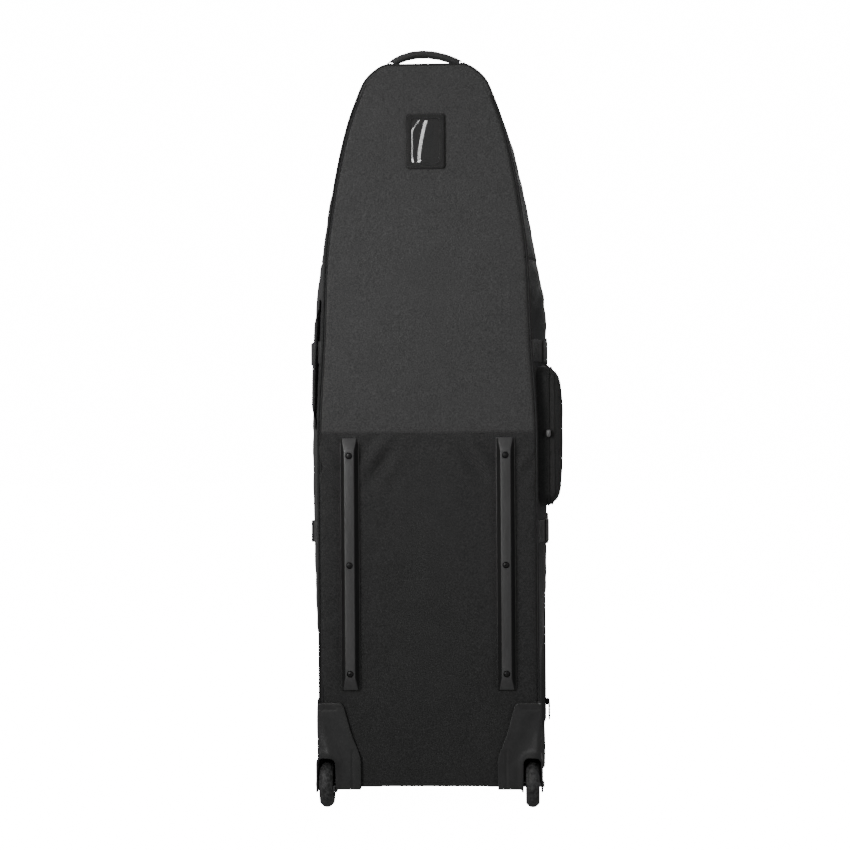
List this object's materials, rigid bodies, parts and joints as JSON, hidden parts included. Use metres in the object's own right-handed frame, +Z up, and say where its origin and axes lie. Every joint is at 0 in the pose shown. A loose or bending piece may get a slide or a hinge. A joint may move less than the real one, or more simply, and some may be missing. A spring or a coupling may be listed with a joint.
{
  "type": "golf travel case",
  "caption": "Tall soft-sided wheeled case for a golf bag, with skid rails on its back, moulded wheel corners, a zipped front lid, pockets, straps and handles.",
  "frame": {"origin": "bottom centre of the bounding box, on the floor under the case standing upright on its two wheels and two front feet", "axes": "+Z up; -Y towards the back, which has the rails and wheels; +Y towards the lid; +X to the right when the back is looked at, the side with the pocket"},
  "size_m": [0.4467, 0.3264, 1.323],
  "materials": {
    "light_cloth": "matte",
    "heavy_cloth": "matte",
    "side_cloth": "matte",
    "webbing": "matte",
    "zip_tape": "matte",
    "piping": "satin",
    "board": "matte",
    "moulded": "satin",
    "rail": "satin",
    "rivet": "satin",
    "rubber": "matte",
    "tyre": "satin",
    "wheel_core": "satin",
    "bearing_steel": "satin",
    "zip_metal": "polished",
    "id_frame": "satin",
    "clear_vinyl": "gloss",
    "card": "matte"
  },
  "bodies": {
    "bag": {"back_panel_lower": "heavy_cloth", "back_panel_upper": "light_cloth", "gusset_right": "side_cloth", "gusset_left": "side_cloth", "crown_panel": "light_cloth", "front_apron": "heavy_cloth", "base_panel": "heavy_cloth", "base_board": "board", "back_board": "board", "seam_piping": "piping", "main_zip_tape_body": "zip_tape", "side_pocket_wall": "side_cloth", "strap_right_lower": "webbing", "strap_right_upper": "webbing", "strap_left_lower": "webbing", "strap_left_upper": "webbing", "inner_strap": "webbing", "wheel_axle_right": "bearing_steel", "wheel_housing_right": "moulded", "skid_rail_right": "rail", "rail_rivet_right_bottom": "rivet", "rail_rivet_right_middle": "rivet", "rail_rivet_right_top": "rivet", "front_foot_right": "rubber", "wheel_axle_left": "bearing_steel", "wheel_housing_left": "moulded", "skid_rail_left": "rail", "rail_rivet_left_bottom": "rivet", "rail_rivet_left_middle": "rivet", "rail_rivet_left_top": "rivet", "front_foot_left": "rubber", "id_frame": "id_frame", "id_window": "clear_vinyl", "top_handle_loop_right": "webbing", "top_handle_loop_left": "webbing"},
    "lid": {"lid_panel": "light_cloth", "main_zip_tape_lid": "zip_tape", "front_pocket_wall": "heavy_cloth", "strap_plug_right_lower": "moulded", "strap_plug_right_upper": "moulded", "strap_plug_left_lower": "moulded", "strap_plug_left_upper": "moulded"},
    "front_flap": {"front_pocket_flap": "light_cloth"},
    "wheel_right": {"wheel_tyre_right": "tyre", "wheel_core_right": "wheel_core", "wheel_bearing_inner_right": "bearing_steel", "wheel_bearing_outer_right": "bearing_steel"},
    "wheel_left": {"wheel_tyre_left": "tyre", "wheel_core_left": "wheel_core", "wheel_bearing_inner_left": "bearing_steel", "wheel_bearing_outer_left": "bearing_steel"},
    "top_handle_arch": {"top_handle": "webbing"},
    "side_handle_grip": {"side_handle": "webbing"},
    "id_card_insert": {"id_card": "card"},
    "zip_slider_right": {"main_zip_slider_right": "zip_metal"},
    "zip_pull_right": {"main_zip_pull_right": "rubber"},
    "zip_slider_left": {"main_zip_slider_left": "zip_metal"},
    "zip_pull_left": {"main_zip_pull_left": "rubber"},
    "side_flap": {"side_pocket_flap": "side_cloth"},
    "side_slider": {"side_pocket_slider": "zip_metal"}
  },
  "joints": [
    {"name": "lid_hinge", "type": "hinge", "parent": "bag", "child": "lid", "pos_m": [0, 0.11515, 0.12], "axis": [-1, 0, 0], "range_deg": [0, 90]},
    {"name": "front_flap_hinge", "type": "hinge", "parent": "lid", "child": "front_flap", "pos_m": [-0.0105, 0.13475, 0.34], "axis": [-1, 0, 0], "range_deg": [0, 80]},
    {"name": "wheel_right_spin", "type": "hinge", "parent": "bag", "child": "wheel_right", "pos_m": [0.168, -0.12325, 0.04], "axis": [1, 0, 0], "continuous": true},
    {"name": "wheel_left_spin", "type": "hinge", "parent": "bag", "child": "wheel_left", "pos_m": [-0.189, -0.12325, 0.04], "axis": [1, 0, 0], "continuous": true},
    {"name": "top_handle_tilt", "type": "hinge", "parent": "bag", "child": "top_handle_arch", "pos_m": [-0.0105, -0.07325, 1.296], "axis": [1, 0, 0], "range_deg": [-50, 50]},
    {"name": "side_handle_lift", "type": "slide", "parent": "bag", "child": "side_handle_grip", "axis": [-1, 0, 0], "range_m": [0, 0.02]},
    {"name": "id_card_slide", "type": "slide", "parent": "bag", "child": "id_card_insert", "axis": [0, 0.0744, 0.9972], "range_m": [0, 0.07]},
    {"name": "zip_slider_right_travel", "type": "slide", "parent": "bag", "child": "zip_slider_right", "axis": [0, 0, 1], "range_m": [0, 0.26]},
    {"name": "zip_pull_right_swing", "type": "hinge", "parent": "zip_slider_right", "child": "zip_pull_right", "pos_m": [0.20035, 0.04875, 0.16], "axis": [0, -1, 0], "range_deg": [0, 150]},
    {"name": "zip_slider_left_travel", "type": "slide", "parent": "bag", "child": "zip_slider_left", "axis": [0, 0, 1], "range_m": [0, 0.26]},
    {"name": "zip_pull_left_swing", "type": "hinge", "parent": "zip_slider_left", "child": "zip_pull_left", "pos_m": [-0.22135, 0.04875, 0.16], "axis": [0, 1, 0], "range_deg": [0, 150]},
    {"name": "side_flap_hinge", "type": "hinge", "parent": "bag", "child": "side_flap", "pos_m": [0.1995, -0.05925, 0.522], "axis": [0, 1, 0], "range_deg": [0, 80]},
    {"name": "side_slider_travel", "type": "slide", "parent": "bag", "child": "side_slider", "axis": [0, 0, 1], "range_m": [-0.07, 0.08]}
  ]
}
